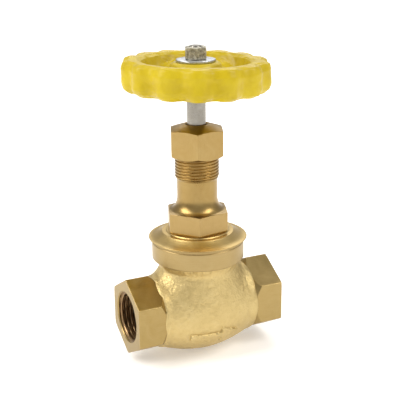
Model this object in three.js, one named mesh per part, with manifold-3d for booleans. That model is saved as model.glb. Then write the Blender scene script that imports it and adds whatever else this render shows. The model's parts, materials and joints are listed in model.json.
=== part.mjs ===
// Bronze globe valve, DN 15, with screwed female ends, a screwed bonnet and a lobed handwheel.
// Millimetres, +Z up along the stem, +X along the flow. The origin is on the stem axis, level with the
// lowest point of the body. The valve is drawn fully open, with its stem against the back seat.
import * as THREE from "three";
import { mergeVertices } from "three/addons/utils/BufferGeometryUtils.js";
import Module from "manifold-3d";

const wasm = await Module();
wasm.setup();

// Driving dimensions.
const PORT_Z = 19; // height of the port axis, which is also the depth of the belly
const FACE_TO_FACE = 64;
const END_FLATS = 28; // across the flats of the hexagonal ends
const PORT_R = 9.3; // crest radius of the G 1/2 pipe thread
const PORT_MOUTH_R = 10.6;
const PORT_DEPTH = 14;
const BELLY = { halfLength: 33.7, halfWidth: 17.8, power: 1.8, cut: 24 };
const NECK_R = 15.5;
const RING_R = 18.7;
const BODY_TOP = PORT_Z + 29.6;
const SKIRT_R = 13; // screwed skirt of the bonnet
const FLANGE_R = 20;
const STEM_R = 3.75;
const SCREW_R = 4.8; // stem's screw
const LIFT = 6; // stem travel from shut to open
const SEAT_R = 6.35;
const DISC_R = 8;
const WHEEL_R = 29.4;
const LOBES = 14;
const LOBE_DEPTH = 1.9;
const LOBE_PHASE = THREE.MathUtils.degToRad(2.1); // a valley between two lobes
const GAP = 0.3; // clearance between neighbouring pieces
const AROUND = 40; // segments round a turned piece
const INNER_AROUND = 28; // segments round a small or hidden piece

const SEAT_TOP = PORT_Z + 5;
const DISC_Z = SEAT_TOP + LIFT + 0.2; // underside of the disc, which stops a hair above the seat
const HEX_TOP = PORT_Z + 41.4; // bonnet's spanner hexagon
const HEX_BOTTOM = PORT_Z + 32.6;
const NECK_TOP = PORT_Z + 67.2; // bonnet's threaded neck
const NUT_BOTTOM = PORT_Z + 63;
const NUT_TOP = PORT_Z + 76.3;
const HUB_BOTTOM = PORT_Z + 91;
const HUB_TOP = PORT_Z + 100.4;
const NUT_TURN = THREE.MathUtils.degToRad(7.6); // how the gland nut's corners stand
const HEX_TURN = THREE.MathUtils.degToRad(9.3); // how the bonnet's corners stand

// A closed geometry as a solid with its faces pointing out.
function solid(geometry) {
  const bare = geometry.index ? geometry.toNonIndexed() : geometry.clone();
  for (const name of ["normal", "uv"]) bare.deleteAttribute(name);
  const merged = mergeVertices(bare, 1e-4);
  const vertProperties = merged.attributes.position.array;
  const triVerts = new Uint32Array(merged.index.array);
  const made = new wasm.Manifold(new wasm.Mesh({ numProp: 3, vertProperties, triVerts }));
  if (made.volume() > 0) return made;
  triVerts.reverse();
  return new wasm.Manifold(new wasm.Mesh({ numProp: 3, vertProperties, triVerts }));
}

function meshOf(name, shape, material) {
  const m = shape.getMesh();
  const geometry = new THREE.BufferGeometry();
  geometry.setAttribute("position", new THREE.BufferAttribute(m.vertProperties, 3));
  geometry.setIndex(new THREE.BufferAttribute(m.triVerts, 1));
  geometry.computeVertexNormals();
  const mesh = new THREE.Mesh(geometry, material);
  mesh.name = name;
  return mesh;
}

// A turned solid about Z, from [radius, height] points that start and end on the axis.
function turned(points, around = AROUND) {
  const profile = points.map(([r, z]) => new THREE.Vector2(r, z));
  return solid(new THREE.LatheGeometry(profile, around).rotateX(Math.PI / 2));
}

// A plain round bar about Z.
function bar(r, z0, z1, around = AROUND) {
  return turned([[0, z0], [r, z0], [r, z1], [0, z1]], around);
}

// A hexagonal bar about Z, with a corner at the angle turn.
function hexBar(flats, z0, z1, turn = 0) {
  const r = flats / Math.sqrt(3);
  const prism = new THREE.CylinderGeometry(r, r, z1 - z0, 6).rotateX(Math.PI / 2);
  return solid(prism.rotateZ(turn + Math.PI / 6).translate(0, 0, (z0 + z1) / 2));
}

// A square bar about Z.
function squareBar(side, z0, z1) {
  return solid(new THREE.BoxGeometry(side, side, z1 - z0).translate(0, 0, (z0 + z1) / 2));
}

// A round bar from one point to another, with round ends.
function passage(from, to, r) {
  const a = new THREE.Vector3(...from);
  const b = new THREE.Vector3(...to);
  const rod = new THREE.CapsuleGeometry(r, a.distanceTo(b), 4, 16);
  const along = new THREE.Vector3().subVectors(b, a).normalize();
  const turn = new THREE.Quaternion().setFromUnitVectors(new THREE.Vector3(0, 1, 0), along);
  const middle = a.add(b).multiplyScalar(0.5);
  return solid(rod.applyQuaternion(turn).translate(middle.x, middle.y, middle.z + PORT_Z));
}

// Quarter of an ellipse from one point to another, as steps after the first point. It leaves the first
// point along Z if standing is true, and along the radius if not.
function arc(from, to, standing, steps = 5) {
  const [r0, z0] = from;
  const [r1, z1] = to;
  return Array.from({ length: steps }, (_, i) => {
    const t = ((i + 1) / steps) * (Math.PI / 2);
    const u = standing ? 1 - Math.cos(t) : Math.sin(t);
    const v = standing ? Math.sin(t) : 1 - Math.cos(t);
    return [r0 + (r1 - r0) * u, z0 + (z1 - z0) * v];
  });
}

// ---- body casting ----

// The belly is oval across and swells to its middle, by a superellipse along X.
function belly() {
  const { halfLength, halfWidth, power, cut } = BELLY;
  const steps = 16;
  const points = [new THREE.Vector2(0, -cut)];
  for (let i = 0; i <= steps; i++) {
    const x = -cut + (2 * cut * i) / steps;
    const share = Math.pow(1 - Math.pow(Math.abs(x) / halfLength, power), 1 / power);
    points.push(new THREE.Vector2(share, x));
  }
  points.push(new THREE.Vector2(0, cut));
  const lathe = new THREE.LatheGeometry(points, 36).rotateZ(-Math.PI / 2);
  return solid(lathe.scale(1, halfWidth, PORT_Z).translate(0, 0, PORT_Z));
}

// One hexagonal end about the X axis, chamfered where it meets the belly. Side is -1 or 1.
function hexEnd(side) {
  const half = FACE_TO_FACE / 2;
  const corner = END_FLATS / Math.sqrt(3) + 1;
  const cone = turned([[0, 16], [10.6, 16], [corner, 16 + (corner - 10.6) * 1.2], [corner, half], [0, half]], 36);
  const hex = hexBar(END_FLATS, 15, half).intersect(cone);
  return hex.rotate([0, side * 90, 0]).translate([0, 0, PORT_Z]);
}

// The rounded shoulder of the casting beside a hexagon.
function shoulderBead(side) {
  const bead = new THREE.TorusGeometry(12.5, 1.9, 8, 36);
  const disc = bar(12.6, -1.6, 1.6, 36);
  return solid(bead).add(disc).rotate([0, side * 90, 0]).translate([side * 19.6, 0, PORT_Z]);
}

function portBore(side) {
  const half = FACE_TO_FACE / 2;
  const inner = half - PORT_DEPTH;
  const mouth = PORT_MOUTH_R - PORT_R;
  const shape = turned([
    [0, inner - 1],
    [PORT_R - 1, inner - 1],
    [PORT_R, inner],
    [PORT_R, half - mouth],
    [PORT_MOUTH_R, half],
    [PORT_MOUTH_R, half + 1],
    [0, half + 1],
  ], INNER_AROUND);
  return shape.rotate([0, side * 90, 0]).translate([0, 0, PORT_Z]);
}

function body() {
  const ring = turned([
    [0, PORT_Z],
    [NECK_R, PORT_Z],
    [NECK_R, PORT_Z + 17.4],
    [NECK_R + 1, PORT_Z + 19],
    [RING_R - 0.3, PORT_Z + 21.1],
    [RING_R, PORT_Z + 21.3],
    [RING_R, BODY_TOP - 0.5],
    [RING_R - 0.5, BODY_TOP],
    [0, BODY_TOP],
  ]);
  const inletChamber = solid(new THREE.SphereGeometry(1, 20, 12).scale(11, 13, 8).translate(0, 0, PORT_Z - 7.5));
  const bonnetBore = turned([
    [0, PORT_Z + 4],
    [12, PORT_Z + 4],
    [12, PORT_Z + 19],
    [SKIRT_R + GAP, PORT_Z + 19.2],
    [SKIRT_R + GAP, BODY_TOP - 1],
    [16, BODY_TOP - 1],
    [16, BODY_TOP + 1],
    [0, BODY_TOP + 1],
  ]);
  return belly()
    .add(ring)
    .add(hexEnd(-1))
    .add(hexEnd(1))
    .add(shoulderBead(-1))
    .add(shoulderBead(1))
    .subtract(portBore(-1))
    .subtract(portBore(1))
    .subtract(passage([-19, 0, -2.2], [-9, 0, -8], 6.2))
    .subtract(passage([19, 0, 2], [9, 0, 9.5], 6.2))
    .subtract(inletChamber)
    .subtract(bar(DISC_R + GAP, PORT_Z - 3, PORT_Z + 5))
    .subtract(bonnetBore);
}

function seatRing() {
  const ring = turned([
    [0, PORT_Z + 0.8],
    [DISC_R, PORT_Z + 0.8],
    [DISC_R, PORT_Z + 4],
    [DISC_R + 1.2, PORT_Z + 4],
    [DISC_R + 1.2, SEAT_TOP - 0.6],
    [SEAT_R + 0.9, SEAT_TOP],
    [0, SEAT_TOP],
  ]);
  return ring.subtract(bar(SEAT_R, PORT_Z, SEAT_TOP + 1));
}

// ---- bonnet and its packing ----

function bonnetOutside() {
  const bottom = BODY_TOP + 0.05;
  const shoulder = [14.6, PORT_Z + 32.1];
  const rim = [FLANGE_R - 0.6, PORT_Z + 30.8];
  const flareTop = [8.1, PORT_Z + 47];
  const flareFoot = [11.5, HEX_TOP];
  return turned([
    [0, PORT_Z + 19.5],
    [SKIRT_R, PORT_Z + 19.5],
    [SKIRT_R, bottom - 1],
    [SKIRT_R, bottom],
    [FLANGE_R - 0.4, bottom],
    [FLANGE_R, bottom + 0.4],
    [FLANGE_R, bottom + 0.9],
    rim,
    ...arc(rim, shoulder, false, 6),
    [14.2, PORT_Z + 32.5],
    [13.6, HEX_BOTTOM],
    [11.4, HEX_BOTTOM],
    flareFoot,
    ...arc(flareFoot, flareTop, false, 5),
    [8.1, PORT_Z + 54.4],
    [8.8, PORT_Z + 55.1],
    [8.8, NECK_TOP - 0.6],
    [8.2, NECK_TOP],
    [0, NECK_TOP],
  ]);
}

function bonnetInside() {
  return turned([
    [0, PORT_Z + 18],
    [10.2, PORT_Z + 18],
    [10.2, PORT_Z + 23.5],
    [SCREW_R + GAP, PORT_Z + 23.5],
    [SCREW_R + GAP, PORT_Z + 34],
    [5.7, PORT_Z + 34],
    [5.7, PORT_Z + 37.6],
    [STEM_R + GAP, PORT_Z + 39.2],
    [STEM_R + GAP, PORT_Z + 54],
    [6.2, PORT_Z + 54],
    [6.2, NECK_TOP + 1],
    [0, NECK_TOP + 1],
  ]);
}

function bonnet() {
  const hex = hexBar(23.2, HEX_BOTTOM, HEX_TOP, HEX_TURN);
  const corner = 23.2 / Math.sqrt(3);
  const trim = turned([
    [0, HEX_BOTTOM],
    [corner - 0.3, HEX_BOTTOM],
    [corner + 0.2, HEX_BOTTOM + 0.4],
    [corner + 0.2, HEX_TOP - 0.5],
    [corner - 0.7, HEX_TOP],
    [0, HEX_TOP],
  ]);
  return bonnetOutside().add(hex.intersect(trim)).subtract(bonnetInside());
}

// A flat ring about Z.
function ring(inner, outer, z0, z1) {
  return bar(outer, z0, z1, INNER_AROUND).subtract(bar(inner, z0 - 1, z1 + 1, INNER_AROUND));
}

function glandFollower() {
  const tube = turned([
    [0, PORT_Z + 63.9],
    [5.9, PORT_Z + 63.9],
    [5.9, PORT_Z + 69.3],
    [7.6, PORT_Z + 69.3],
    [7.6, PORT_Z + 71.4],
    [0, PORT_Z + 71.4],
  ], INNER_AROUND);
  return tube.subtract(bar(STEM_R + GAP, PORT_Z + 60, PORT_Z + 75, INNER_AROUND));
}

function glandNut() {
  const corner = 20.2 / Math.sqrt(3);
  const hex = hexBar(20.2, NUT_BOTTOM, NUT_TOP, NUT_TURN);
  const trim = turned([
    [0, NUT_BOTTOM],
    [9.9, NUT_BOTTOM],
    [corner + 0.1, NUT_BOTTOM + 1.25],
    [corner + 0.1, PORT_Z + 74.1],
    [STEM_R + 1.4, NUT_TOP - 0.2],
    [STEM_R + 1, NUT_TOP],
    [0, NUT_TOP],
  ]);
  const inside = turned([
    [0, NUT_BOTTOM - 1],
    [9.1, NUT_BOTTOM - 1],
    [9.1, PORT_Z + 71.45],
    [STEM_R + GAP, PORT_Z + 71.45],
    [STEM_R + GAP, NUT_TOP + 1],
    [0, NUT_TOP + 1],
  ]);
  return hex.intersect(trim).subtract(inside);
}

// ---- stem and disc ----

function stem() {
  const shank = turned([
    [0, DISC_Z + 4.9],
    [3.7, DISC_Z + 4.9],
    [3.7, DISC_Z + 6.3],
    [2.6, DISC_Z + 6.3],
    [2.6, DISC_Z + 12],
    [SCREW_R - 0.6, DISC_Z + 12],
    [SCREW_R, DISC_Z + 12.6],
    [SCREW_R, PORT_Z + 37.2],
    [STEM_R, PORT_Z + 38.5],
    [STEM_R, HUB_BOTTOM],
    [0, HUB_BOTTOM],
  ], INNER_AROUND);
  const end = turned([
    [0, HUB_BOTTOM - 1],
    [2.5, HUB_BOTTOM - 1],
    [2.5, PORT_Z + 106.3],
    [2.1, PORT_Z + 106.7],
    [0, PORT_Z + 106.7],
  ], 20);
  return shank.add(squareBar(5.2, HUB_BOTTOM - 1, HUB_TOP - 0.4)).add(end);
}

// The holder swivels on the foot of the stem and carries the soft ring that shuts on the seat.
function discHolder() {
  const outside = turned([
    [0, DISC_Z + 0.6],
    [DISC_R - 0.6, DISC_Z + 0.6],
    [DISC_R, DISC_Z + 1.2],
    [DISC_R, DISC_Z + 4.2],
    [6.8, DISC_Z + 4.8],
    [6.8, DISC_Z + 9],
    [0, DISC_Z + 9],
  ], INNER_AROUND);
  const inside = turned([
    [0, DISC_Z + 4.6],
    [4.1, DISC_Z + 4.6],
    [4.1, DISC_Z + 6],
    [5.3, DISC_Z + 6],
    [5.3, DISC_Z + 10],
    [0, DISC_Z + 10],
  ], INNER_AROUND);
  const recess = ring(3.5, 7.35, DISC_Z, DISC_Z + 2.6);
  return outside.subtract(inside).subtract(recess).subtract(bar(1.8, DISC_Z, DISC_Z + 4, 20));
}

function discScrew() {
  return bar(1.5, DISC_Z - 0.5, DISC_Z + 3.7, 20).add(hexBar(7.6, DISC_Z - 2.2, DISC_Z - 0.35));
}

function discNut() {
  const nut = bar(5, DISC_Z + 6.6, DISC_Z + 9.4, INNER_AROUND).add(hexBar(11, DISC_Z + 9.3, DISC_Z + 11.2));
  return nut.subtract(bar(2.9, DISC_Z, DISC_Z + 12, INNER_AROUND));
}

// ---- handwheel ----

// How far the rim is drawn in at an angle: nothing on a lobe, LOBE_DEPTH in the valley between two.
function valley(angle) {
  const wave = 0.5 + 0.5 * Math.cos((angle - LOBE_PHASE) * LOBES);
  return LOBE_DEPTH * Math.pow(wave, 1.3);
}

function handwheel() {
  const web = [20.4, PORT_Z + 95.6];
  const profile = [
    [0, HUB_BOTTOM],
    [6.6, HUB_BOTTOM],
    [7.4, HUB_BOTTOM + 1.6],
    [19, PORT_Z + 92.4],
    [20.8, PORT_Z + 90.4],
    [22.6, PORT_Z + 89.3],
    [26.6, PORT_Z + 89.3],
    [28.6, PORT_Z + 90.3],
    [WHEEL_R, PORT_Z + 92.4],
    [WHEEL_R, PORT_Z + 98.8],
    [28.6, PORT_Z + 100.9],
    [26.6, PORT_Z + 101.8],
    [22, PORT_Z + 101.8],
    [20.9, PORT_Z + 100.8],
    web,
    [18.6, PORT_Z + 94.9],
    [12, PORT_Z + 96],
    [10.4, HUB_TOP - 0.9],
    [9.6, HUB_TOP],
    [0, HUB_TOP],
  ];
  const points = profile.map(([r, z]) => new THREE.Vector2(r, z));
  const lathe = new THREE.LatheGeometry(points, LOBES * 5).rotateX(Math.PI / 2);
  const at = lathe.attributes.position;
  const rimStart = 23.5;
  for (let i = 0; i < at.count; i++) {
    const r = Math.hypot(at.getX(i), at.getY(i));
    if (r <= rimStart) continue;
    const share = Math.min(1, (r - rimStart) / (WHEEL_R - rimStart - 1));
    const k = 1 - (share * valley(Math.atan2(at.getY(i), at.getX(i)))) / r;
    at.setXY(i, at.getX(i) * k, at.getY(i) * k);
  }
  return solid(lathe).subtract(squareBar(5.2 + GAP, HUB_BOTTOM - 2, HUB_TOP + 2));
}

function wheelNut() {
  const corner = 8 / Math.sqrt(3);
  const z0 = PORT_Z + 101.5;
  const z1 = PORT_Z + 106.3;
  const trim = turned([
    [0, z0],
    [corner + 0.1, z0],
    [corner + 0.1, z1 - 0.5],
    [3.7, z1],
    [0, z1],
  ], INNER_AROUND);
  return hexBar(8, z0, z1, NUT_TURN).intersect(trim).subtract(bar(2.5 + GAP, z0 - 1, z1 + 1, 24));
}

// ---- materials ----

function metal(color, roughness, metalness = 1) {
  return new THREE.MeshStandardMaterial({ color, roughness, metalness });
}

const castBronze = metal(0xd2b06a, 0.5);
const brass = metal(0xc49a4c, 0.3);
const steel = metal(0x9c9a94, 0.3);
const zinc = metal(0x8f9092, 0.5);
const paint = metal(0xdcc01c, 0.35, 0);
const ptfe = metal(0xe8e6df, 0.6, 0);
const fibre = metal(0x6b6f66, 0.8, 0);

// ---- the valve ----

const valve = new THREE.Group();
valve.add(
  meshOf("body", body(), castBronze),
  meshOf("seat_ring", seatRing(), brass),
  meshOf("bonnet_gasket", ring(13.6, 15.7, BODY_TOP - 0.9, BODY_TOP), fibre),
  meshOf("bonnet", bonnet(), brass),
  meshOf("packing_washer", ring(STEM_R + GAP, 5.9, PORT_Z + 54.05, PORT_Z + 55), brass),
  meshOf("gland_follower", glandFollower(), brass),
  meshOf("gland_nut", glandNut(), brass),
  meshOf("stem", stem(), steel),
  meshOf("disc_holder", discHolder(), brass),
  meshOf("disc_insert", ring(3.6, 7.25, DISC_Z, DISC_Z + 2.5), ptfe),
  meshOf("disc_screw", discScrew(), brass),
  meshOf("disc_nut", discNut(), brass),
  meshOf("handwheel", handwheel(), paint),
  meshOf("wheel_washer", ring(2.5 + GAP, 7.7, HUB_TOP + 0.05, HUB_TOP + 1.05), zinc),
  meshOf("wheel_nut", wheelNut(), zinc),
);

const PACKING_RINGS = 4;
const RING_PITCH = 2.2;
for (let i = 0; i < PACKING_RINGS; i++) {
  const z = PORT_Z + 55.05 + i * RING_PITCH;
  valve.add(meshOf(`packing_ring_${i + 1}`, ring(STEM_R + 0.15, 6.05, z, z + RING_PITCH - 0.05), ptfe));
}

export default valve;
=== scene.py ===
"""Bronze globe valve with screwed ends, a screwed bonnet and a yellow lobed handwheel.

The pieces are drawn in millimetres, with the stem axis on Z and the ports along X.
Every mesh is stored in metres.
"""
import json
import math
import bmesh
import bpy
import numpy as np
from mathutils import Euler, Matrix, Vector, noise


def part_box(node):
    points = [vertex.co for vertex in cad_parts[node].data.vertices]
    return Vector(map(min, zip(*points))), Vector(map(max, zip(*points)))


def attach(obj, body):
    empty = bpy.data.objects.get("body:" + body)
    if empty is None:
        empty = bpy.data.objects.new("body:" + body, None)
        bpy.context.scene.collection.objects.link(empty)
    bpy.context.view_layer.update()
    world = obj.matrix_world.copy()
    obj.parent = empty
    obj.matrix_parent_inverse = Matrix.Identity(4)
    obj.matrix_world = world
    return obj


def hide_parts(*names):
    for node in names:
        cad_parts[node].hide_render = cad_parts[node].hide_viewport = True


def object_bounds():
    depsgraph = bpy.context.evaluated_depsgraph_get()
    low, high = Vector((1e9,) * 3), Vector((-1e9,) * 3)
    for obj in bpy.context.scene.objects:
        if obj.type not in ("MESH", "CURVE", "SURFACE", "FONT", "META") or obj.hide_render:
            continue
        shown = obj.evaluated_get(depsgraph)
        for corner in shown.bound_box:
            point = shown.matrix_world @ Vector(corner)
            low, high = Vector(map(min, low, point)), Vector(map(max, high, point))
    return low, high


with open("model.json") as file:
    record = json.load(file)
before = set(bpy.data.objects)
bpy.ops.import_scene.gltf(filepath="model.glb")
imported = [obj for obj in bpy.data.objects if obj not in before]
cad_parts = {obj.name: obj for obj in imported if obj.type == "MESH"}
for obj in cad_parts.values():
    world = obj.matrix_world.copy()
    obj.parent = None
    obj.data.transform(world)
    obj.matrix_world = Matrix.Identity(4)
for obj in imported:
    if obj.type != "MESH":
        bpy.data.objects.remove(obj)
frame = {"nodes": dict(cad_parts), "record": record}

CAD_LOW, CAD_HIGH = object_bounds()
MM = 0.001
TAU = 2 * math.pi


def box_mm(node):
    low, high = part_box(node)
    return low / MM, high / MM


# Driving sizes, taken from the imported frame.
BODY_HIGH = box_mm("body")[1]
BONNET_HIGH = box_mm("bonnet")[1]
WHEEL_LOW, WHEEL_HIGH = box_mm("handwheel")
STEM_LOW, STEM_HIGH = box_mm("stem")
NUT_LOW, NUT_HIGH = box_mm("gland_nut")
WASHER_LOW, WASHER_HIGH = box_mm("wheel_washer")
TOP_NUT_LOW, TOP_NUT_HIGH = box_mm("wheel_nut")
FACE_X = BODY_HIGH.x
RING_R = BODY_HIGH.y
RING_TOP = BODY_HIGH.z
FLANGE_R = BONNET_HIGH.x
PORT_Z = RING_TOP - 29.6  # height of the port axis
WHEEL_R = 29.4
LOBES = 14
LOBE_PHASE = math.radians(2.1)
LOBE_DEPTH = 1.85
WHEEL_LEAN = math.radians(1.1)  # the casting sits a little out of true
WHEEL_LEAN_TO = math.radians(25)  # minus the angle of the rim's lowest point
WEB_ANGLE = math.radians(115)
END_FLATS = 28.0
PORT_MOUTH_R = 10.6
THREAD_CREST_R = 9.32
THREAD_ROOT_R = 10.45
THREAD_LENGTH = 13.6
PIPE_PITCH = 1.814
BORE_R = THREAD_ROOT_R + 0.2  # bore of an end hexagon, just clear of its thread
HEX_START = 19.0  # inner end of each end hexagon, along the ports
NECK_THREAD_R = 8.8
NECK_R = 8.1
STEM_R = 3.75
NUT_TURN = math.radians(7.6)
BONNET_TURN = math.radians(9.3)


# ---------------------------------------------------------------- mesh helpers

def smooth_step(t):
    return t * t * (3 - 2 * t)


def clamp(t):
    return min(1.0, max(0.0, t))


def store(name, vertices, faces, sharp=32):
    """A mesh object from vertices in millimetres, smooth except where faces turn by over sharp degrees."""
    mesh = bpy.data.meshes.new(name)
    mesh.from_pydata((np.asarray(vertices, float) * MM).tolist(), [], faces)
    work = bmesh.new()
    work.from_mesh(mesh)
    bmesh.ops.remove_doubles(work, verts=work.verts, dist=1e-7)
    bmesh.ops.recalc_face_normals(work, faces=work.faces)
    work.to_mesh(mesh)
    work.free()
    mesh.shade_smooth()
    mesh.set_sharp_from_angle(angle=math.radians(sharp))
    made = bpy.data.objects.new(name, mesh)
    bpy.context.scene.collection.objects.link(made)
    return made


def grid(name, points, wrap_rows=False, sharp=32):
    """A skin over a grid of points, closed round its second index and, if wrap_rows, round its first too."""
    rows, columns = points.shape[:2]
    faces = []
    for i in range(rows if wrap_rows else rows - 1):
        below, above = i * columns, ((i + 1) % rows) * columns
        for j in range(columns):
            k = (j + 1) % columns
            faces.append((below + j, below + k, above + k, above + j))
    return store(name, points.reshape(-1, 3), faces, sharp)


def fillet(points, steps=4):
    """Rounds an outline's corners: each point is (r, z) or (r, z, radius)."""
    out = []
    for i, point in enumerate(points):
        here = np.array(point[:2], float)
        radius = point[2] if len(point) > 2 else 0
        if not radius or i in (0, len(points) - 1):
            out.append(here)
            continue
        back = np.array(points[i - 1][:2], float) - here
        ahead = np.array(points[i + 1][:2], float) - here
        back_length, ahead_length = np.linalg.norm(back), np.linalg.norm(ahead)
        back, ahead = back / back_length, ahead / ahead_length
        half = math.acos(float(np.clip(back @ ahead, -1, 1))) / 2
        if abs(half - math.pi / 2) < 0.02:
            out.append(here)
            continue
        cut = min(radius / math.tan(half), 0.48 * back_length, 0.48 * ahead_length)
        real = cut * math.tan(half)
        middle = back + ahead
        centre = here + middle / np.linalg.norm(middle) * real / math.sin(half)
        start = here + back * cut - centre
        end = here + ahead * cut - centre
        sweep = (math.pi / 2 - half) * 2
        for k in range(steps + 1):
            t = k / steps
            spoke = start * math.sin((1 - t) * sweep) + end * math.sin(t * sweep)
            out.append(centre + spoke / math.sin(sweep))
    return np.array(out)


def lathe(name, outline, around=144, sharp=32, steps=4, closed=False):
    """A turned piece about Z from an outline of (r, z, fillet radius) points."""
    line = fillet(outline, steps)
    angle = np.arange(around) * TAU / around
    points = np.empty((len(line), around, 3))
    points[..., 0] = line[:, :1] * np.cos(angle)
    points[..., 1] = line[:, :1] * np.sin(angle)
    points[..., 2] = line[:, 1:]
    return grid(name, points, wrap_rows=closed, sharp=sharp)


def hexagon(flats, turn, corner):
    """Points round a hexagon with slightly rounded corners, one of them at the angle turn."""
    per_flat, per_corner = 16, 4
    out = []
    reach = (flats / 2 - corner) / math.cos(math.pi / 6)
    for side in range(6):
        a = turn + side * TAU / 6
        centre = np.array([math.cos(a), math.sin(a)]) * reach
        for k in range(per_corner + 1):
            b = a + (k / per_corner - 0.5) * TAU / 6
            out.append(centre + corner * np.array([math.cos(b), math.sin(b)]))
        following = turn + (side + 1) * TAU / 6
        last = out[-1]
        b = following - TAU / 12
        target = np.array([math.cos(following), math.sin(following)]) * reach
        target = target + corner * np.array([math.cos(b), math.sin(b)])
        out += [last + (target - last) * k / per_flat for k in range(1, per_flat)]
    return np.array(out)


def hex_piece(name, flats, z0, z1, low, high, turn, corner, bevel, foot=None, bore=None, hole=None):
    """A hexagon between two heights, with its sharp edges rounded by bevel.

    low and high are (circle radius, slope) of the turned chamfers, and foot is (height, shrink) of a
    flat-sided taper at the bottom. bore is an outline from the top inwards, and hole is the radius where the
    bottom face starts.
    """
    edge = hexagon(flats, turn, corner)
    reach = np.linalg.norm(edge, axis=1)
    unit = edge / reach[:, None]

    def ring(radius, height):
        radius = np.broadcast_to(radius, reach.shape)
        height = np.broadcast_to(height, reach.shape)
        return np.column_stack([unit * radius[:, None], height])

    bottom = z0 + np.maximum(0, reach - low[0]) * low[1]
    top = z1 - np.maximum(0, reach - high[0]) * high[1]
    rings = [ring(hole or low[0] * 0.6, z0), ring(np.minimum(low[0], reach), z0)]
    if foot:
        rings = [ring(reach * foot[1] * 0.8, z0), ring(reach * foot[1], z0)]
        bottom = bottom + foot[0]
    rings += [ring(reach, bottom), ring(reach, top), ring(np.minimum(high[0], reach), z1)]
    rings += [ring(r, z) for r, z in (bore or [(high[0] * 0.6, z1)])]
    made = grid(name, np.array(rings), sharp=28)
    rounding = made.modifiers.new("edges", "BEVEL")
    rounding.width = bevel * MM
    rounding.segments = 3
    rounding.limit_method = "ANGLE"
    rounding.angle_limit = math.radians(24)
    return made


def thread(name, crest, root, pitch, z0, z1, inside, limit):
    """A screw thread's skin: a ridge that climbs one pitch a turn, and never passes the limit(z) radius."""
    around, per_turn = 128, 14
    rows = int((z1 - z0) / pitch * per_turn)
    z = np.linspace(z0, z1, rows)[:, None]
    angle = (np.arange(around) * TAU / around)[None, :]
    phase = (z / pitch - angle / TAU) % 1.0
    ridge = np.clip(1.35 - np.abs(phase - 0.5) * 3.4, 0, 1)
    radius = root + (crest - root) * smooth_step(ridge)
    bound = np.vectorize(limit)(z)
    radius = np.maximum(radius, bound) if inside else np.minimum(radius, bound)
    points = np.empty((rows, around, 3))
    points[..., 0] = radius * np.cos(angle)
    points[..., 1] = radius * np.sin(angle)
    points[..., 2] = z
    return grid(name, points, sharp=50)


def lay_along_x(piece, side):
    """Turns a piece drawn about Z so that its +Z points out of a port, and lifts it to the port axis."""
    turn = Euler((0, side * math.pi / 2, 0)).to_matrix().to_4x4()
    piece.data.transform(turn)
    for vertex in piece.data.vertices:
        vertex.co.z += PORT_Z * MM
    return piece


# ---------------------------------------------------------------- material helpers

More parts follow.
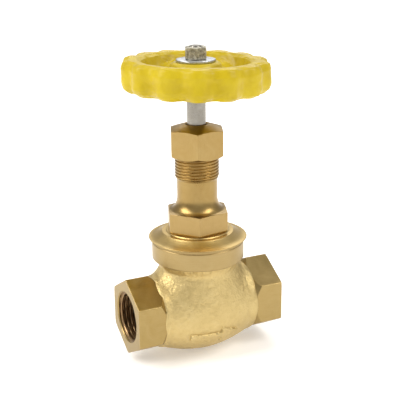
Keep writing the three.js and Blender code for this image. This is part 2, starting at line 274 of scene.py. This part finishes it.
class Nodes:
    """Short names for building a material's nodes."""

    def __init__(self, name):
        self.material = bpy.data.materials.new(name)
        self.material.use_nodes = True
        self.tree = self.material.node_tree
        self.shader = self.tree.nodes["Principled BSDF"]
        self.place = self.add("ShaderNodeTexCoord").outputs["Object"]

    def add(self, kind, **values):
        node = self.tree.nodes.new(kind)
        for key, value in values.items():
            setattr(node, key, value)
        return node

    def link(self, source, target):
        self.tree.links.new(source, target)

    def stretched(self, scale):
        mapping = self.add("ShaderNodeMapping")
        mapping.inputs["Scale"].default_value = scale
        self.link(self.place, mapping.inputs["Vector"])
        return mapping.outputs["Vector"]

    def noise(self, scale, detail=3.0, rough=0.55, vector=None, distortion=0.0):
        node = self.add("ShaderNodeTexNoise")
        node.inputs["Scale"].default_value = scale
        node.inputs["Detail"].default_value = detail
        node.inputs["Roughness"].default_value = rough
        node.inputs["Distortion"].default_value = distortion
        self.link(vector or self.place, node.inputs["Vector"])
        return node.outputs["Fac"]

    def ramp(self, value, stops):
        node = self.add("ShaderNodeValToRGB")
        ramp = node.color_ramp
        while len(ramp.elements) < len(stops):
            ramp.elements.new(0.5)
        for element, (at, colour) in zip(ramp.elements, stops):
            element.position = at
            element.color = (*colour, 1)
        self.link(value, node.inputs["Fac"])
        return node.outputs["Color"]

    def span(self, value, low, high, start=0.3, end=0.7):
        node = self.add("ShaderNodeMapRange")
        node.inputs["From Min"].default_value = start
        node.inputs["From Max"].default_value = end
        node.inputs["To Min"].default_value = low
        node.inputs["To Max"].default_value = high
        self.link(value, node.inputs["Value"])
        return node.outputs["Result"]

    def sum(self, *terms):
        """The weighted sum of (value, weight) terms."""
        total = None
        for value, weight in terms:
            node = self.add("ShaderNodeMath", operation="MULTIPLY_ADD")
            self.link(value, node.inputs[0])
            node.inputs[1].default_value = weight
            node.inputs[2].default_value = 0.0
            if total is not None:
                self.link(total, node.inputs[2])
            total = node.outputs[0]
        return total

    def bump(self, height, distance, strength=1.0):
        node = self.add("ShaderNodeBump")
        node.inputs["Distance"].default_value = distance
        node.inputs["Strength"].default_value = strength
        self.link(height, node.inputs["Height"])
        return node.outputs["Normal"]

    def rings(self, axis, scale):
        """Fine turning marks round an axis: noise that changes along it and hardly at all round it."""
        apart = self.add("ShaderNodeSeparateXYZ")
        self.link(self.place, apart.inputs[0])
        along = apart.outputs["XYZ".index(axis)]
        across = [apart.outputs[i] for i in range(3) if i != "XYZ".index(axis)]
        squares = []
        for value in across:
            node = self.add("ShaderNodeMath", operation="MULTIPLY")
            self.link(value, node.inputs[0])
            self.link(value, node.inputs[1])
            squares.append(node.outputs[0])
        total = self.add("ShaderNodeMath", operation="ADD")
        self.link(squares[0], total.inputs[0])
        self.link(squares[1], total.inputs[1])
        root = self.add("ShaderNodeMath", operation="SQRT")
        self.link(total.outputs[0], root.inputs[0])
        point = self.add("ShaderNodeCombineXYZ")
        self.link(along, point.inputs[0])
        self.link(root.outputs[0], point.inputs[1])
        return self.noise(scale, 2.0, 0.6, point.outputs[0])

    def finish(self, colour, roughness, normal, metallic=1.0):
        self.link(colour, self.shader.inputs["Base Color"])
        self.link(roughness, self.shader.inputs["Roughness"])
        self.link(normal, self.shader.inputs["Normal"])
        self.shader.inputs["Metallic"].default_value = metallic
        return self.material


def cast_bronze():
    """Shot-blasted casting: a fine sandy grain, soft dents and a pale, uneven gold."""
    n = Nodes("cast_bronze")
    patches = n.noise(110, 4)
    grain = n.noise(1500, 3, 0.6)
    coarse = n.noise(520, 3, 0.6)
    colour = n.ramp(n.sum((patches, 0.3), (coarse, 0.7)), [
        (0.30, (0.53, 0.40, 0.17)),
        (0.50, (0.60, 0.465, 0.21)),
        (0.72, (0.66, 0.53, 0.26)),
    ])
    height = n.sum((grain, 0.45), (coarse, 1.0), (patches, 0.5))
    return n.finish(colour, n.span(coarse, 0.42, 0.56), n.bump(height, 0.00042, 1.0))


def turned_bronze(name, axis, low, high, rough):
    """Machined bronze with fine turning marks round an axis and faint warm stains."""
    n = Nodes(name)
    lines = n.rings(axis, 5200)
    stains = n.noise(160, 4, 0.6, distortion=0.6)
    wear = n.noise(900, 3)
    colour = n.ramp(n.sum((stains, 0.75), (lines, 0.25)), [(0.34, low), (0.66, high)])
    height = n.sum((lines, 1.0), (wear, 0.4))
    return n.finish(colour, n.span(stains, *rough), n.bump(height, 0.000016, 0.5))


def milled_bronze(name, low, high, stretch):
    """Machined flats: short cutter marks along one way, and cloudy handling stains."""
    n = Nodes(name)
    marks = n.noise(3000, 2, 0.6, n.stretched(stretch))
    stains = n.noise(120, 5, 0.62, distortion=0.8)
    colour = n.ramp(n.sum((stains, 0.8), (marks, 0.2)), [(0.34, low), (0.66, high)])
    height = n.sum((marks, 1.0), (stains, 0.6))
    return n.finish(colour, n.span(stains, 0.28, 0.42), n.bump(height, 0.00004, 0.7))


def wheel_paint():
    """Thick glossy enamel over a rough casting: lazy ripples, thin pale spots and small runs."""
    n = Nodes("wheel_paint")
    ripple = n.noise(150, 3, 0.5, distortion=0.4)
    orange_peel = n.noise(900, 2)
    cloud = n.noise(75, 4, 0.6)
    colour = n.ramp(n.sum((cloud, 0.7), (ripple, 0.3)), [
        (0.30, (0.41, 0.295, 0.004)),
        (0.50, (0.50, 0.37, 0.006)),
        (0.72, (0.57, 0.44, 0.012)),
    ])
    height = n.sum((ripple, 1.0), (orange_peel, 0.12), (cloud, 0.8))
    n.shader.inputs["Specular IOR Level"].default_value = 0.22
    n.shader.inputs["Coat Weight"].default_value = 0.08
    n.shader.inputs["Coat Roughness"].default_value = 0.18
    return n.finish(colour, n.span(cloud, 0.32, 0.46), n.bump(height, 0.0009, 0.45), metallic=0.0)


def drawn_steel():
    """Ground stem: lengthwise tone changes and fine rings."""
    n = Nodes("stem_steel")
    lines = n.rings("Z", 4200)
    cloud = n.noise(200, 3)
    colour = n.ramp(cloud, [(0.35, (0.27, 0.25, 0.215)), (0.65, (0.36, 0.34, 0.30))])
    return n.finish(colour, n.span(lines, 0.26, 0.34), n.bump(lines, 0.000012, 0.5))


def dull_zinc(name, low, high, rough):
    """Plated steel with a mottled, slightly rough coat."""
    n = Nodes(name)
    mottle = n.noise(900, 4, 0.65)
    pits = n.noise(2600, 3, 0.6)
    colour = n.ramp(mottle, [(0.36, low), (0.64, high)])
    return n.finish(colour, n.span(mottle, *rough), n.bump(n.sum((mottle, 1.0), (pits, 0.7)), 0.00012, 0.8))


def soft_sheet(name, low, high):
    """Matt packing or gasket material with a faint mottle."""
    n = Nodes(name)
    mottle = n.noise(700, 4, 0.6)
    colour = n.ramp(mottle, [(0.35, low), (0.65, high)])
    return n.finish(colour, n.span(mottle, 0.55, 0.75), n.bump(mottle, 0.00005, 0.6), metallic=0.0)


CAST = cast_bronze()
END_BRONZE = milled_bronze("end_bronze", (0.345, 0.245, 0.092), (0.41, 0.30, 0.125), (0.10, 1.0, 1.0))
RING_BRONZE = turned_bronze("ring_bronze", "Z", (0.35, 0.25, 0.105), (0.41, 0.305, 0.14), (0.30, 0.42))
# The bonnet's flange and neck are the same turned brass. The flange's paler colour is painted light on its
# upward face, and the neck's darker colour is painted shade.
LIT_FLANGE_BRONZE = turned_bronze("flange_bronze_painted_light", "Z", (0.45, 0.32, 0.12), (0.56, 0.415, 0.175), (0.36, 0.46))
SHADED_NECK_BRONZE = turned_bronze("neck_bronze_painted_shade", "Z", (0.295, 0.195, 0.068), (0.355, 0.245, 0.092), (0.27, 0.38))
HEX_BRONZE = milled_bronze("hex_bronze", (0.345, 0.235, 0.09), (0.41, 0.285, 0.118), (1.0, 1.0, 0.12))
NUT_BRONZE = milled_bronze("nut_bronze", (0.33, 0.22, 0.078), (0.40, 0.28, 0.11), (1.0, 1.0, 0.12))
THREAD_BRONZE = turned_bronze("thread_bronze", "Z", (0.31, 0.19, 0.058), (0.41, 0.27, 0.092), (0.26, 0.38))
# The port thread and bore get a darker bronze: painted shade for the deep recess.
SHADED_PORT_BRONZE = turned_bronze("port_bronze_painted_shade", "X", (0.24, 0.15, 0.075), (0.36, 0.235, 0.115), (0.30, 0.45))
INNER_BRASS = turned_bronze("inner_brass", "Z", (0.60, 0.42, 0.16), (0.76, 0.55, 0.24), (0.25, 0.38))
PAINT = wheel_paint()
STEEL = drawn_steel()
WASHER_ZINC = dull_zinc("washer_zinc", (0.42, 0.44, 0.47), (0.62, 0.64, 0.67), (0.25, 0.40))
NUT_ZINC = dull_zinc("nut_zinc", (0.20, 0.185, 0.15), (0.60, 0.57, 0.46), (0.34, 0.54))
PTFE = soft_sheet("ptfe", (0.74, 0.73, 0.69), (0.86, 0.85, 0.81))
FIBRE = soft_sheet("fibre", (0.12, 0.14, 0.11), (0.20, 0.22, 0.18))


def settle(piece, material, body, slot, *replaced):
    """Gives a piece its finish, its body and the CAD nodes that it stands for."""
    piece.data.materials.clear()
    piece.data.materials.append(material)
    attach(piece, body)
    if replaced:
        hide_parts(*replaced)
    return piece


# ---------------------------------------------------------------- body casting

BELLY_LENGTH, BELLY_WIDTH, BELLY_POWER = 33.7, 17.6, 1.8
BELLY_END = 21.6
BEAD_X, BEAD_R, BEAD_THICK = 19.6, 14.5, 1.9  # rounded shoulder beside each hexagon
CAST_NECK_R = 15.3
FLARE_BOTTOM, RING_BOTTOM = 17.2, 21.2  # above the port axis
FURTHEST_SKIN = 45.0
OPENING_X, OPENING_R = 16, 11.2  # the skin past this length and within this radius is open


def smooth_min(a, b, k):
    """The smaller of two distances, with the crease between them rounded over a width of k."""
    h = np.clip(0.5 + 0.5 * (b - a) / k, 0, 1)
    return b + (a - b) * h - k * h * (1 - h)


def casting_depth(x, y, z):
    """How far a point is outside the casting, less than 0 inside it. Height is above the port axis."""
    across = np.hypot(y / BELLY_WIDTH, z / (PORT_Z - 0.02))
    gauge = (np.abs(x / BELLY_LENGTH) ** BELLY_POWER + across ** BELLY_POWER) ** (1 / BELLY_POWER)
    reach = np.sqrt(x * x + y * y + z * z) + 1e-9
    belly = reach * (1 - 1 / np.maximum(gauge, 1e-6))
    bead = np.hypot(np.abs(x) - BEAD_X, np.hypot(y, z) - BEAD_R + BEAD_THICK) - BEAD_THICK
    belly = smooth_min(belly, bead, 1.6)
    belly = -smooth_min(-belly, BELLY_END - np.abs(x), 1.2)
    flare = np.clip((z - FLARE_BOTTOM) / (RING_BOTTOM - FLARE_BOTTOM), 0, 1)
    neck = np.hypot(x, y) - CAST_NECK_R - (RING_R - 0.25 - CAST_NECK_R) * flare ** 1.6
    neck = -smooth_min(-neck, z + 4.0, 3.0)
    whole = smooth_min(belly, neck, 5.5 - 4.5 * flare)
    return np.maximum(whole, z - RING_BOTTOM)


def skin_reach(direction):
    """Distance from the port axis's middle to the casting's skin along unit directions."""
    low = np.zeros(direction.shape[:-1])
    high = np.full(direction.shape[:-1], FURTHEST_SKIN)
    for _ in range(26):
        middle = (low + high) / 2
        outside = casting_depth(*(direction * middle[..., None]).transpose(2, 0, 1)) > 0
        high = np.where(outside, middle, high)
        low = np.where(outside, low, middle)
    return low


def open_ports(piece):
    """Takes away the casting's skin across the two ports."""
    work = bmesh.new()
    work.from_mesh(piece.data)
    doomed = []
    for face in work.faces:
        middle = face.calc_center_median() / MM
        if abs(middle.x) > OPENING_X and math.hypot(middle.y, middle.z - PORT_Z) < OPENING_R:
            doomed.append(face)
    bmesh.ops.delete(work, geom=doomed, context="FACES")
    work.to_mesh(piece.data)
    work.free()


def casting():
    """The blended belly and neck, with the soft dents of sand casting."""
    rows, around = 150, 260
    polar = np.linspace(0.0, math.pi, rows)[:, None]
    angle = (np.arange(around) * TAU / around)[None, :]
    direction = np.empty((rows, around, 3))
    direction[..., 0] = -np.cos(polar)
    direction[..., 1] = np.sin(polar) * np.cos(angle)
    direction[..., 2] = np.sin(polar) * np.sin(angle)
    points = direction * skin_reach(direction)[..., None]
    for point in points.reshape(-1, 3):
        dent = noise.noise(Vector(point) * 0.16) * 0.16 + noise.noise(Vector(point) * 0.55) * 0.05
        point *= 1 - abs(dent) / 18
    points[..., 2] += PORT_Z
    piece = grid("body_casting", points, sharp=60)
    open_ports(piece)
    return piece


ARROW_UPPER = [(11.0, 0.0), (2.2, 4.1), (2.2, 1.35), (-11.5, 1.35)]
ARROW = [(x, -y) for x, y in ARROW_UPPER[:0:-1]] + ARROW_UPPER


def inside_distance(x, y, outline):
    """How deep a point lies inside a closed outline, less than 0 outside."""
    nearest, inside = 1e9, False
    for (x0, y0), (x1, y1) in zip(outline, outline[1:] + outline[:1]):
        if (y0 > y) != (y1 > y) and x < (x1 - x0) * (y - y0) / (y1 - y0) + x0:
            inside = not inside
        length = (x1 - x0) ** 2 + (y1 - y0) ** 2
        t = clamp(((x - x0) * (x1 - x0) + (y - y0) * (y1 - y0)) / length)
        nearest = min(nearest, math.hypot(x - x0 - t * (x1 - x0), y - y0 - t * (y1 - y0)))
    return nearest if inside else -nearest


def flow_arrow(side):
    """A raised cast arrow on the belly, pointing to the outlet. side is -1 for the front."""
    columns, rows = 150, 60
    wide, tall, drop = 13.0, 5.0, math.radians(26)
    relief, sunk, edge = 1.2, 0.25, 0.5
    points = np.empty((rows, columns, 3))
    lift = np.empty((rows, columns))
    for i in range(rows):
        for j in range(columns):
            u = -wide + 2 * wide * j / (columns - 1)
            v = -tall + 2 * tall * i / (rows - 1)
            a = -drop + v / 17.5
            points[i, j] = (u, side * math.cos(a) * 18, math.sin(a) * 18)
            depth = inside_distance(u, v, ARROW) + 0.25 * noise.noise(Vector((u, v, side)) * 0.9)
            t = clamp(depth / edge + 0.5)
            lift[i, j] = relief * t * t * (3 - 2 * t) - sunk
    reach = np.linalg.norm(points, axis=2)
    unit = points / reach[..., None]
    points = unit * (skin_reach(unit) + lift)[..., None]
    points[..., 2] += PORT_Z
    faces = []
    for i in range(rows - 1):
        for j in range(columns - 1):
            a = i * columns + j
            faces.append((a, a + 1, a + columns + 1, a + columns))
    return store("flow_arrow_front" if side < 0 else "flow_arrow_back", points.reshape(-1, 3), faces, 60)


def end_hexagon(side):
    bore = [(PORT_MOUTH_R, FACE_X), (PORT_MOUTH_R - 0.5, FACE_X - 0.5), (BORE_R, FACE_X - 0.9)]
    bore += [(BORE_R, HEX_START + 0.2)]
    name = "inlet_hexagon" if side < 0 else "outlet_hexagon"
    piece = hex_piece(name, END_FLATS, HEX_START, FACE_X, (13.2, 1.16), (15.2, 0.12), turn=0.0,
                      corner=0.4, bevel=0.2, bore=bore, hole=BORE_R)
    return lay_along_x(piece, side)


def port_thread(side):
    end = FACE_X - 0.02

    def mouth(z):
        return PORT_MOUTH_R - 0.02 - (end - z) * 0.9

    name = "inlet_thread" if side < 0 else "outlet_thread"
    skin = thread(name, THREAD_CREST_R, THREAD_ROOT_R, PIPE_PITCH, end - THREAD_LENGTH, end, True, mouth)
    return lay_along_x(skin, side)


def port_pocket(side):
    """The plain bore behind the thread and the start of the passage to the seat."""
    name = "inlet_passage" if side < 0 else "outlet_passage"
    piece = lathe(name, [
        (THREAD_ROOT_R, FACE_X - THREAD_LENGTH),
        (8.6, FACE_X - 14.6, 0.8),
        (7.4, FACE_X - 15.4, 0.8),
        (6.6, FACE_X - 20, 1.5),
        (5.2, FACE_X - 24.5, 3),
        (0.001, FACE_X - 25.5),
    ], around=96)
    return lay_along_x(piece, side)


def body_ring():
    """The machined ring under the bonnet, with a shallow turned groove below its top edge."""
    z = PORT_Z
    return lathe("body_ring", [
        (13.4, z + RING_BOTTOM - 0.1),
        (RING_R - 0.3, z + RING_BOTTOM - 0.1, 0.1),
        (RING_R, z + RING_BOTTOM + 0.2, 0.15),
        (RING_R, z + 28.1, 0.15),
        (RING_R - 0.22, z + 28.35, 0.1),
        (RING_R - 0.22, z + 28.6, 0.1),
        (RING_R, z + 28.8, 0.12),
        (RING_R, z + 29.3, 0.2),
        (RING_R - 0.35, z + 29.58, 0.1),
        (13.4, z + 29.58),
    ], around=192)


settle(casting(), CAST, "casing", "cast_bronze", "body")
for side in (-1, 1):
    settle(flow_arrow(side), CAST, "casing", "cast_bronze", "body")
    settle(end_hexagon(side), END_BRONZE, "casing", "cast_bronze", "body")
    settle(port_thread(side), SHADED_PORT_BRONZE, "casing", "cast_bronze", "body")
    settle(port_pocket(side), SHADED_PORT_BRONZE, "casing", "cast_bronze", "body")
settle(body_ring(), RING_BRONZE, "casing", "cast_bronze", "body")


# ---------------------------------------------------------------- bonnet and gland

HEX_BOTTOM = PORT_Z + 32.6
HEX_TOP = PORT_Z + 41.4


def bonnet_flange():
    """A thin rim, a wide hollow that sweeps up to a collar, and the collar's flat top."""
    z = PORT_Z
    share = [k / 16 for k in range(17)]
    sweep = [(19.6 - 4.9 * t, z + 30.0 + 2.25 * t ** 1.6) for t in share]
    return lathe("bonnet_flange", [
        (12.8, z + 29.68),
        (FLANGE_R - 0.5, z + 29.68, 0.2),
        (FLANGE_R - 0.02, z + 29.9, 0.15),
        (FLANGE_R - 0.2, z + 30.15, 0.15),
    ] + sweep + [
        (14.5, z + 32.45, 0.3),
        (12.9, z + 32.55, 0.2),
        (12.6, z + 32.9),
        (10.0, z + 32.9),
    ], around=192, steps=6)


def bonnet_neck():
    """The turned neck: it flares from the top of the hexagon and ends at the thread's relief."""
    z = PORT_Z
    flare = []
    for k in range(15):
        t = k / 14 * math.pi / 2
        flare.append((NECK_R + 3.5 * (1 - math.sin(t)), z + 41.42 + 5.6 * (1 - math.cos(t))))
    return lathe("bonnet_neck", [(9.0, z + 41.0)] + flare + [
        (NECK_R, z + 54.0, 0.3),
        (8.25, z + 54.35, 0.1),
        (8.55, z + 54.9, 0.1),
        (8.2, z + 55.2),
        (7.9, z + 55.2),
    ], around=160, steps=5)


def neck_thread():
    bottom, top = PORT_Z + 54.7, BONNET_HIGH.z - 0.02

    def limit(z):
        return min(8.2 + (z - bottom) * 1.4, 8.2 + (top - z) * 1.2, NECK_THREAD_R)

    return thread("bonnet_thread", NECK_THREAD_R, 8.22, 1.24, bottom, top, False, limit)


def bonnet_hexagon():
    return hex_piece("bonnet_hexagon", 23.16, HEX_BOTTOM + 0.12, HEX_TOP, (11.4, 0.0), (11.4, 0.12),
                     BONNET_TURN, corner=0.3, bevel=0.14, foot=(1.05, 0.945))


def gland_nut():
    top = NUT_HIGH.z
    bore = [(STEM_R + 0.9, top), (STEM_R + 0.35, top - 0.5), (STEM_R + 0.3, top - 3)]
    return hex_piece("gland_nut_piece", 20.2, NUT_LOW.z, top, (9.6, 0.62), (4.9, 0.33), NUT_TURN,
                     corner=0.3, bevel=0.16, bore=bore)


settle(bonnet_flange(), LIT_FLANGE_BRONZE, "casing", "brass", "bonnet")
settle(bonnet_neck(), SHADED_NECK_BRONZE, "casing", "brass", "bonnet")
settle(neck_thread(), THREAD_BRONZE, "casing", "brass", "bonnet")
settle(bonnet_hexagon(), HEX_BRONZE, "casing", "brass", "bonnet")
settle(gland_nut(), NUT_BRONZE, "casing", "brass", "gland_nut")


# ---------------------------------------------------------------- stem and handwheel

HUB_BORE_R = 2.9
HUB_TOP = WASHER_LOW.z - 0.06


def stem():
    """Foot, groove for the disc nut, screwed part, plain rod and the narrow end that holds the wheel."""
    z = STEM_LOW.z
    return lathe("stem_piece", [
        (0.001, z),
        (3.7, z, 0.2),
        (3.7, z + 1.4, 0.2),
        (2.6, z + 1.4, 0.1),
        (2.6, z + 7.1, 0.1),
        (4.7, z + 7.2, 0.2),
        (4.8, z + 20.5, 0.2),
        (STEM_R, z + 22.6, 0.2),
        (STEM_R, WHEEL_LOW.z + 1.9, 0.3),
        (2.6, WHEEL_LOW.z + 2.5, 0.1),
        (2.45, STEM_HIGH.z - 0.5, 0.2),
        (2.0, STEM_HIGH.z - 0.02, 0.2),
        (0.001, STEM_HIGH.z - 0.02),
    ], around=96)


def wheel_outline():
    """The wheel's section from the foot of the hub, out round the rim and back to the top of the hub."""
    low, high = WHEEL_LOW.z, WHEEL_HIGH.z
    line = fillet([
        (HUB_BORE_R, HUB_TOP - 8.6),
        (6.6, HUB_TOP - 8.6, 0.6),
        (7.6, HUB_TOP - 7.4, 1.0),
        (18.6, low + 3.2, 1.6),
        (21.0, low + 0.9, 1.2),
        (23.0, low + 0.05, 1.2),
        (26.4, low + 0.05, 1.2),
        (28.7, low + 1.4, 1.5),
        (WHEEL_R - 0.03, low + 3.4, 1.5),
        (WHEEL_R - 0.03, high - 3.3, 1.5),
        (28.6, high - 0.9, 1.4),
        (26.6, high - 0.05, 1.0),
        (23.0, high - 0.35, 0.6),
        (21.3, high - 1.4, 0.5),
        (20.0, high - 5.2, 1.6),
        (17.8, high - 6.8, 1.8),
        (12.0, high - 5.6, 1.6),
        (9.8, HUB_TOP - 0.6, 0.7),
        (8.6, HUB_TOP, 0.4),
        (HUB_BORE_R, HUB_TOP),
    ], steps=7)
    dense = [line[0]]
    for a, b in zip(line, line[1:]):
        parts = max(1, int(np.linalg.norm(b - a) / 0.55))
        dense += [a + (b - a) * k / parts for k in range(1, parts + 1)]
    return np.array(dense)


def dish_lift(r, web):
    """How far the floor of the dish rises at a web, or sinks between webs, fading out at hub and rim."""
    dish = clamp((r - 9.8) / 2.2) * clamp((21.2 - r) / 2.2)
    return dish * (web * 3.6 - (1 - web) * 1.6)


def wheel_point(r, z, angle, valley, web):
    """Where a point of the outline goes on the real wheel, with its lobes, webs, lumps and lean."""
    low, high = WHEEL_LOW.z, WHEEL_HIGH.z
    middle = (low + high) / 2
    share = smooth_step(clamp((r - 22.0) / 6.2))
    radius = r - share * valley
    height = z
    if r > 22:
        height = middle + (z - middle) * (1 - 0.06 * share * valley / LOBE_DEPTH)
    if z > low + 4.5 and r < 21.3:
        height += dish_lift(r, web)
    lump = noise.noise(Vector((math.cos(angle) * r, math.sin(angle) * r, z)) * 0.21)
    lump += 0.5 * noise.noise(Vector((math.cos(angle) * r, math.sin(angle) * r, z + 40)) * 0.55)
    away = clamp((r - 8.5) / 3)
    radius -= away * (0.28 + 0.4 * lump) * 0.8
    height += away * (0.35 * lump if low + 0.6 < z < high - 0.6 else -abs(lump) * 0.25)
    height -= away * WHEEL_LEAN * r * math.cos(angle + WHEEL_LEAN_TO)
    return radius * math.cos(angle), radius * math.sin(angle), height


def handwheel():
    """A cast wheel: a thick rim with soft lobes, and a dish with two deep pockets between broad webs."""
    outline = wheel_outline()
    around = 336
    points = np.empty((len(outline), around, 3))
    for j in range(around):
        angle = j * TAU / around
        valley = LOBE_DEPTH * (0.5 + 0.5 * math.cos((angle - LOBE_PHASE) * LOBES)) ** 1.3
        web = smooth_step(0.5 + 0.5 * math.cos(2 * (angle + WEB_ANGLE)))
        for i, (r, z) in enumerate(outline):
            points[i, j] = wheel_point(r, z, angle, valley, web)
    return grid("handwheel_casting", points, wrap_rows=True, sharp=60)


def washer():
    return lathe("wheel_washer_piece", [
        (2.8, WASHER_LOW.z),
        (WASHER_HIGH.x - 0.02, WASHER_LOW.z, 0.15),
        (WASHER_HIGH.x - 0.02, WASHER_HIGH.z, 0.3),
        (2.8, WASHER_HIGH.z),
    ], around=128, closed=True)


def top_nut():
    top = TOP_NUT_HIGH.z
    bore = [(2.9, top - 0.05), (2.5, top - 0.6), (2.5, top - 2)]
    return hex_piece("wheel_nut_piece", 7.96, TOP_NUT_LOW.z, top, (3.75, 0.4), (3.6, 0.5), NUT_TURN,
                     corner=0.25, bevel=0.12, bore=bore)


settle(stem(), STEEL, "spindle", "steel", "stem")
settle(handwheel(), PAINT, "spindle", "wheel_paint", "handwheel")
settle(washer(), WASHER_ZINC, "spindle", "zinc", "wheel_washer")
settle(top_nut(), NUT_ZINC, "spindle", "zinc", "wheel_nut")


# ---------------------------------------------------------------- hidden pieces keep their CAD shapes

FINISHES = {"brass": INNER_BRASS, "ptfe": PTFE, "fibre": FIBRE}
SLOTS = {row["node"]: row["material_slot"] for row in frame["record"]["subparts"]}
for name, node in frame["nodes"].items():
    if not node.hide_render:
        node.data.materials.clear()
        node.data.materials.append(FINISHES[SLOTS[name]])


# ---------------------------------------------------------------- floor, light and camera

FLOOR_REACH = 6.0  # metres
FLOOR_GAP = 0.00005
# The floor's glow is painted light; its lower strength near the valve paints a shade round it.
GLOW_NEAR, GLOW_FAR = (0.05, 0.30), (0.42, 0.74)  # distance in metres and strength


def floor():
    """A white floor that glows a little more the further it is from the valve: its glow is painted light,
    and the weaker glow near the valve is painted shade round it.
    """
    n = Nodes("floor_paint_and_glow")
    speckle = n.noise(40, 3)
    colour = n.ramp(speckle, [(0.3, (0.88, 0.87, 0.86)), (0.7, (0.91, 0.90, 0.89))])
    material = n.finish(colour, n.span(speckle, 0.6, 0.7), n.bump(speckle, 0.00001, 0.1), metallic=0.0)
    n.shader.inputs["Emission Color"].default_value = (1.0, 1.0, 1.0, 1)
    # Painted light and shade: the floor's emission is weaker near the valve and stronger far off.
    distance = n.add("ShaderNodeVectorMath", operation="LENGTH")
    n.link(n.place, distance.inputs[0])
    (start, near), (end, far) = GLOW_NEAR, GLOW_FAR
    glow = n.span(distance.outputs["Value"], near, far, start, end)
    n.link(glow, n.shader.inputs["Emission Strength"])
    mesh = bpy.data.meshes.new("floor")
    corners = [(FLOOR_REACH * x, FLOOR_REACH * y, 0) for x, y in ((-1, -1), (1, -1), (1, 1), (-1, 1))]
    mesh.from_pydata(corners, [], [(0, 1, 2, 3)])
    made = bpy.data.objects.new("floor", mesh)
    bpy.context.scene.collection.objects.link(made)
    mesh.materials.append(material)
    made.location.z = CAD_LOW.z - FLOOR_GAP


CENTRE = Vector((0, 0, (CAD_LOW.z + CAD_HIGH.z) / 2))


def softbox(name, azimuth, elevation, distance, size, power, colour=(1, 1, 1)):
    """A rectangular soft light that looks at the valve from an azimuth and elevation in degrees."""
    lamp = bpy.data.lights.new(name, "AREA")
    lamp.shape = "RECTANGLE"
    lamp.size, lamp.size_y = size
    lamp.energy = power
    lamp.color = colour
    made = bpy.data.objects.new(name, lamp)
    bpy.context.scene.collection.objects.link(made)
    az, el = math.radians(azimuth), math.radians(elevation)
    away = Vector((math.sin(az) * math.cos(el), -math.cos(az) * math.cos(el), math.sin(el)))
    made.location = CENTRE + away * distance
    made.rotation_euler = (-away).to_track_quat("-Z", "Y").to_euler()


def studio():
    """An even pale room, grey from the horizon up, and three soft lights."""
    world = bpy.data.worlds.new("studio")
    bpy.context.scene.world = world
    world.use_nodes = True
    tree = world.node_tree
    direction = tree.nodes.new("ShaderNodeTexCoord").outputs["Generated"]
    height = tree.nodes.new("ShaderNodeSeparateXYZ")
    tree.links.new(direction, height.inputs[0])
    fade = tree.nodes.new("ShaderNodeValToRGB")
    for element, (at, shade) in zip(fade.color_ramp.elements, ((0.0, 0.55), (0.8, 0.52))):
        element.position = at
        element.color = (shade, shade * 0.98, shade * 0.95, 1)
    tree.links.new(height.outputs[2], fade.inputs["Fac"])
    tree.links.new(fade.outputs["Color"], tree.nodes["Background"].inputs["Color"])
    softbox("key", -100, 44, 0.75, (0.36, 0.50), 4.2, (1.0, 0.98, 0.95))
    softbox("fill", 42, 46, 0.80, (0.26, 0.44), 3.0, (1.0, 0.97, 0.93))
    softbox("back", 150, 40, 0.90, (0.5, 0.5), 2.0)


CAMERA_AZIMUTH, CAMERA_ELEVATION, CAMERA_ROLL = -25.35, 17.57, -0.57  # degrees
CAMERA_DISTANCE = 345.5
CAMERA_TARGET = (1.20, 0, PORT_Z + 44.64)
LENS, SENSOR = 77.18, 36


def camera():
    """A portrait lens, a little above the valve and to its left."""
    azimuth, elevation, roll = map(math.radians, (CAMERA_AZIMUTH, CAMERA_ELEVATION, CAMERA_ROLL))
    distance = CAMERA_DISTANCE * MM
    target = Vector(CAMERA_TARGET) * MM
    back = Vector((
        math.sin(azimuth) * math.cos(elevation),
        -math.cos(azimuth) * math.cos(elevation),
        math.sin(elevation),
    ))
    lens = bpy.data.cameras.new("camera")
    lens.sensor_width = SENSOR
    lens.lens = LENS
    lens.clip_start = 0.01
    made = bpy.data.objects.new("camera", lens)
    bpy.context.scene.collection.objects.link(made)
    made.location = target + back * distance
    turn = back.to_track_quat("Z", "Y").to_matrix().to_4x4()
    lean = Euler((0, 0, roll)).to_matrix().to_4x4()
    made.rotation_euler = (turn @ lean).to_euler()
    bpy.context.scene.camera = made


floor()
studio()
camera()
bpy.context.scene.view_settings.view_transform = "Standard"
